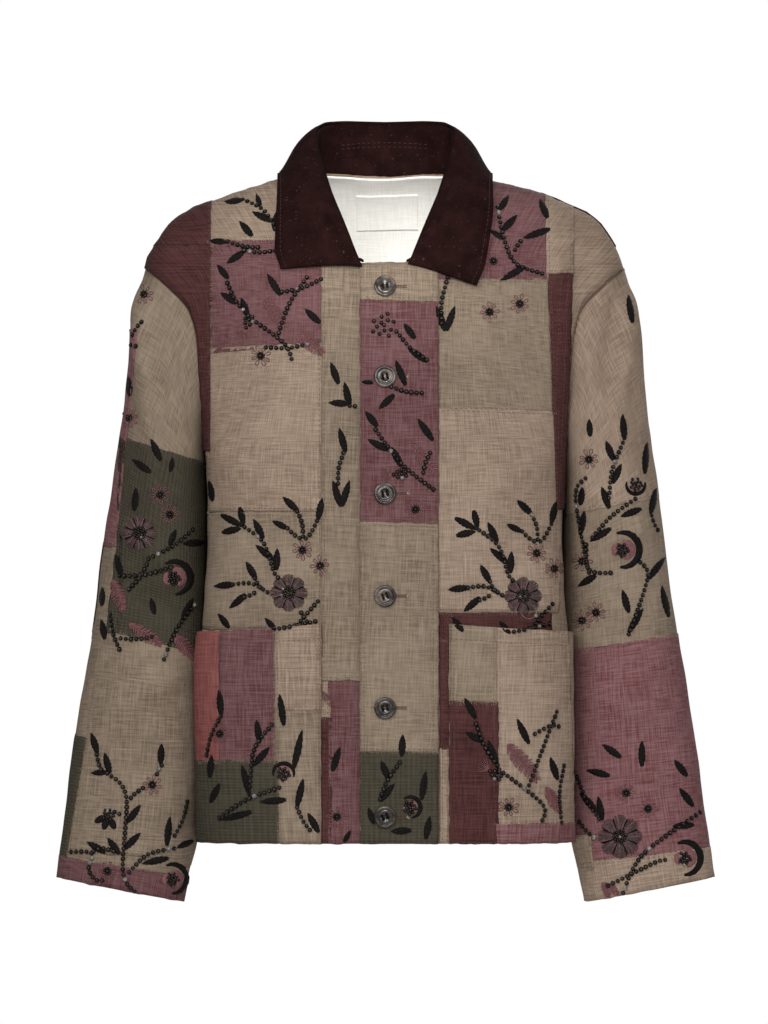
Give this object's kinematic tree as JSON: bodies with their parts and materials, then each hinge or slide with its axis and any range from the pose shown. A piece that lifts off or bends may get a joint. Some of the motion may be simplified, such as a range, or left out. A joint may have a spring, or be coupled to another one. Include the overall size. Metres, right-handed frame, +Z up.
{
  "type": "patchwork button jacket, filled out as worn",
  "caption": "Boxy hip-length jacket of pieced handwoven cloth with a dark collar, button front, patch pockets and floral bead and thread embroidery, hollow as worn.",
  "frame": {"origin": "middle of the neck opening, level with the shoulder line, where the wearer's neck and shoulders hold the jacket", "axes": "+Z up, -Y the jacket's front, +X the wearer's left"},
  "size_m": [0.632, 0.2745, 0.7558],
  "materials": {
    "beige_cloth": "matte slubbed handwoven cotton",
    "mauve_cloth": "matte shot handwoven cotton",
    "maroon_cloth": "matte plain cotton",
    "olive_cloth": "matte ribbed cotton",
    "collar_moleskin": "short brushed nap",
    "lining_cotton": "smooth plain cotton",
    "horn": "polished mottled horn",
    "black_thread": "satin stitch floss",
    "mauve_thread": "looped cotton floss",
    "jet_beads": "polished",
    "seam_thread": "plain cotton thread"
  },
  "bodies": {
    "root": {"front_left": "beige_cloth", "front_right": "beige_cloth", "button_band": "beige_cloth", "pocket_left": "beige_cloth", "pocket_right": "mauve_cloth", "back": "beige_cloth", "neck_lining": "lining_cotton", "label": "lining_cotton", "sleeve_left": "beige_cloth", "sleeve_right": "beige_cloth", "collar_stand": "collar_moleskin", "collar_fall": "collar_moleskin", "button_1": "horn", "button_2": "horn", "button_3": "horn", "button_4": "horn", "button_5": "horn", "button_6": "horn"}
  },
  "joints": []
}
